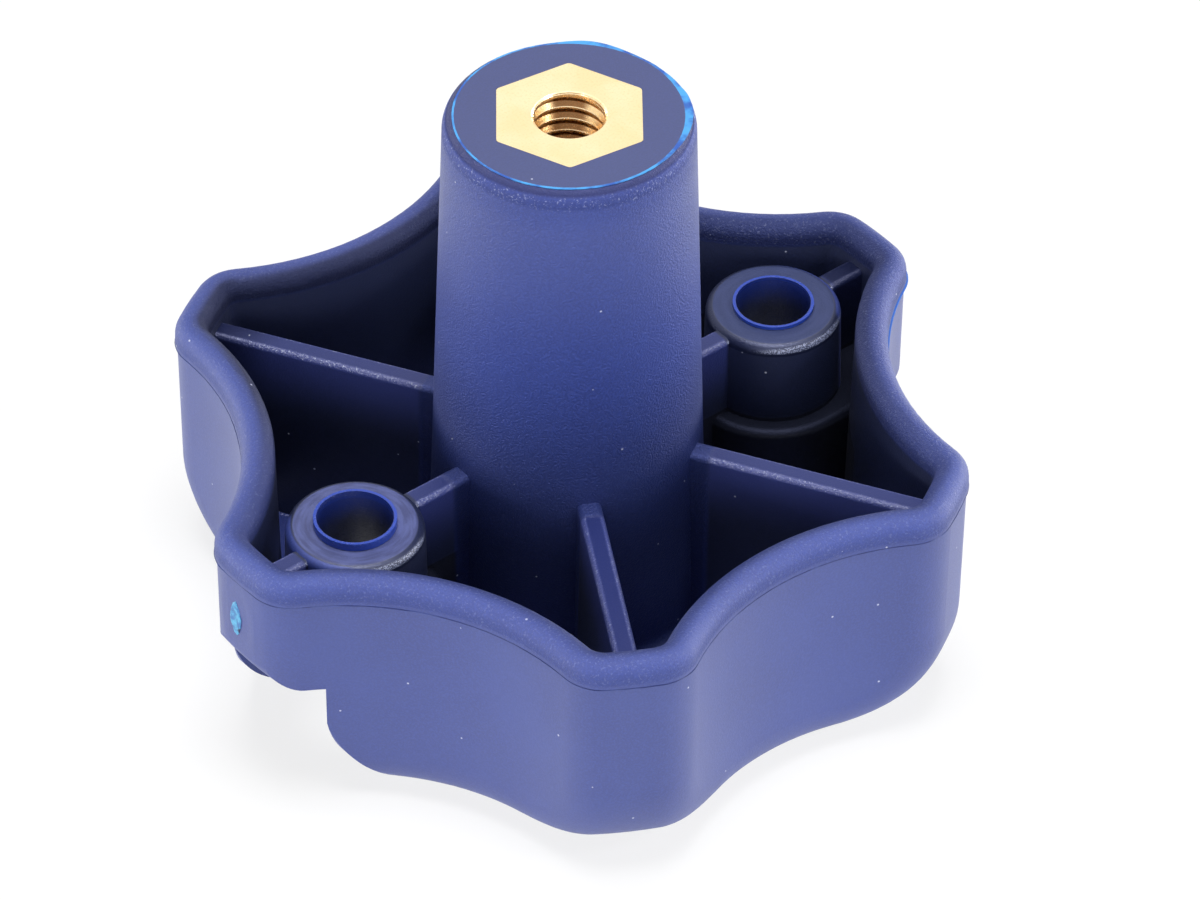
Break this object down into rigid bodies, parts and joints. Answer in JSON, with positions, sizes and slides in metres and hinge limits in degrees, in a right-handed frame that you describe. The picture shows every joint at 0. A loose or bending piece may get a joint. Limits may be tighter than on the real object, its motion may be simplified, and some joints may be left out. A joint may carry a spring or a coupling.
{
  "type": "star knob",
  "caption": "Moulded plastic star grip knob with an open ribbed underside and a tall central boss round a tapped hexagonal metal insert.",
  "frame": {"origin": "centre of the grip face, on the boss axis, at the plane the knob stands on", "axes": "+Z along the boss, out of the tapped hole's mouth; +X through the lobe over one of the two tubular posts"},
  "size_m": [0.0584, 0.053, 0.0448],
  "materials": {
    "plastic": "satin, fine spark texture",
    "insert": "machined"
  },
  "bodies": {
    "root": {"knob_body": "plastic", "threaded_insert": "insert"}
  },
  "joints": []
}
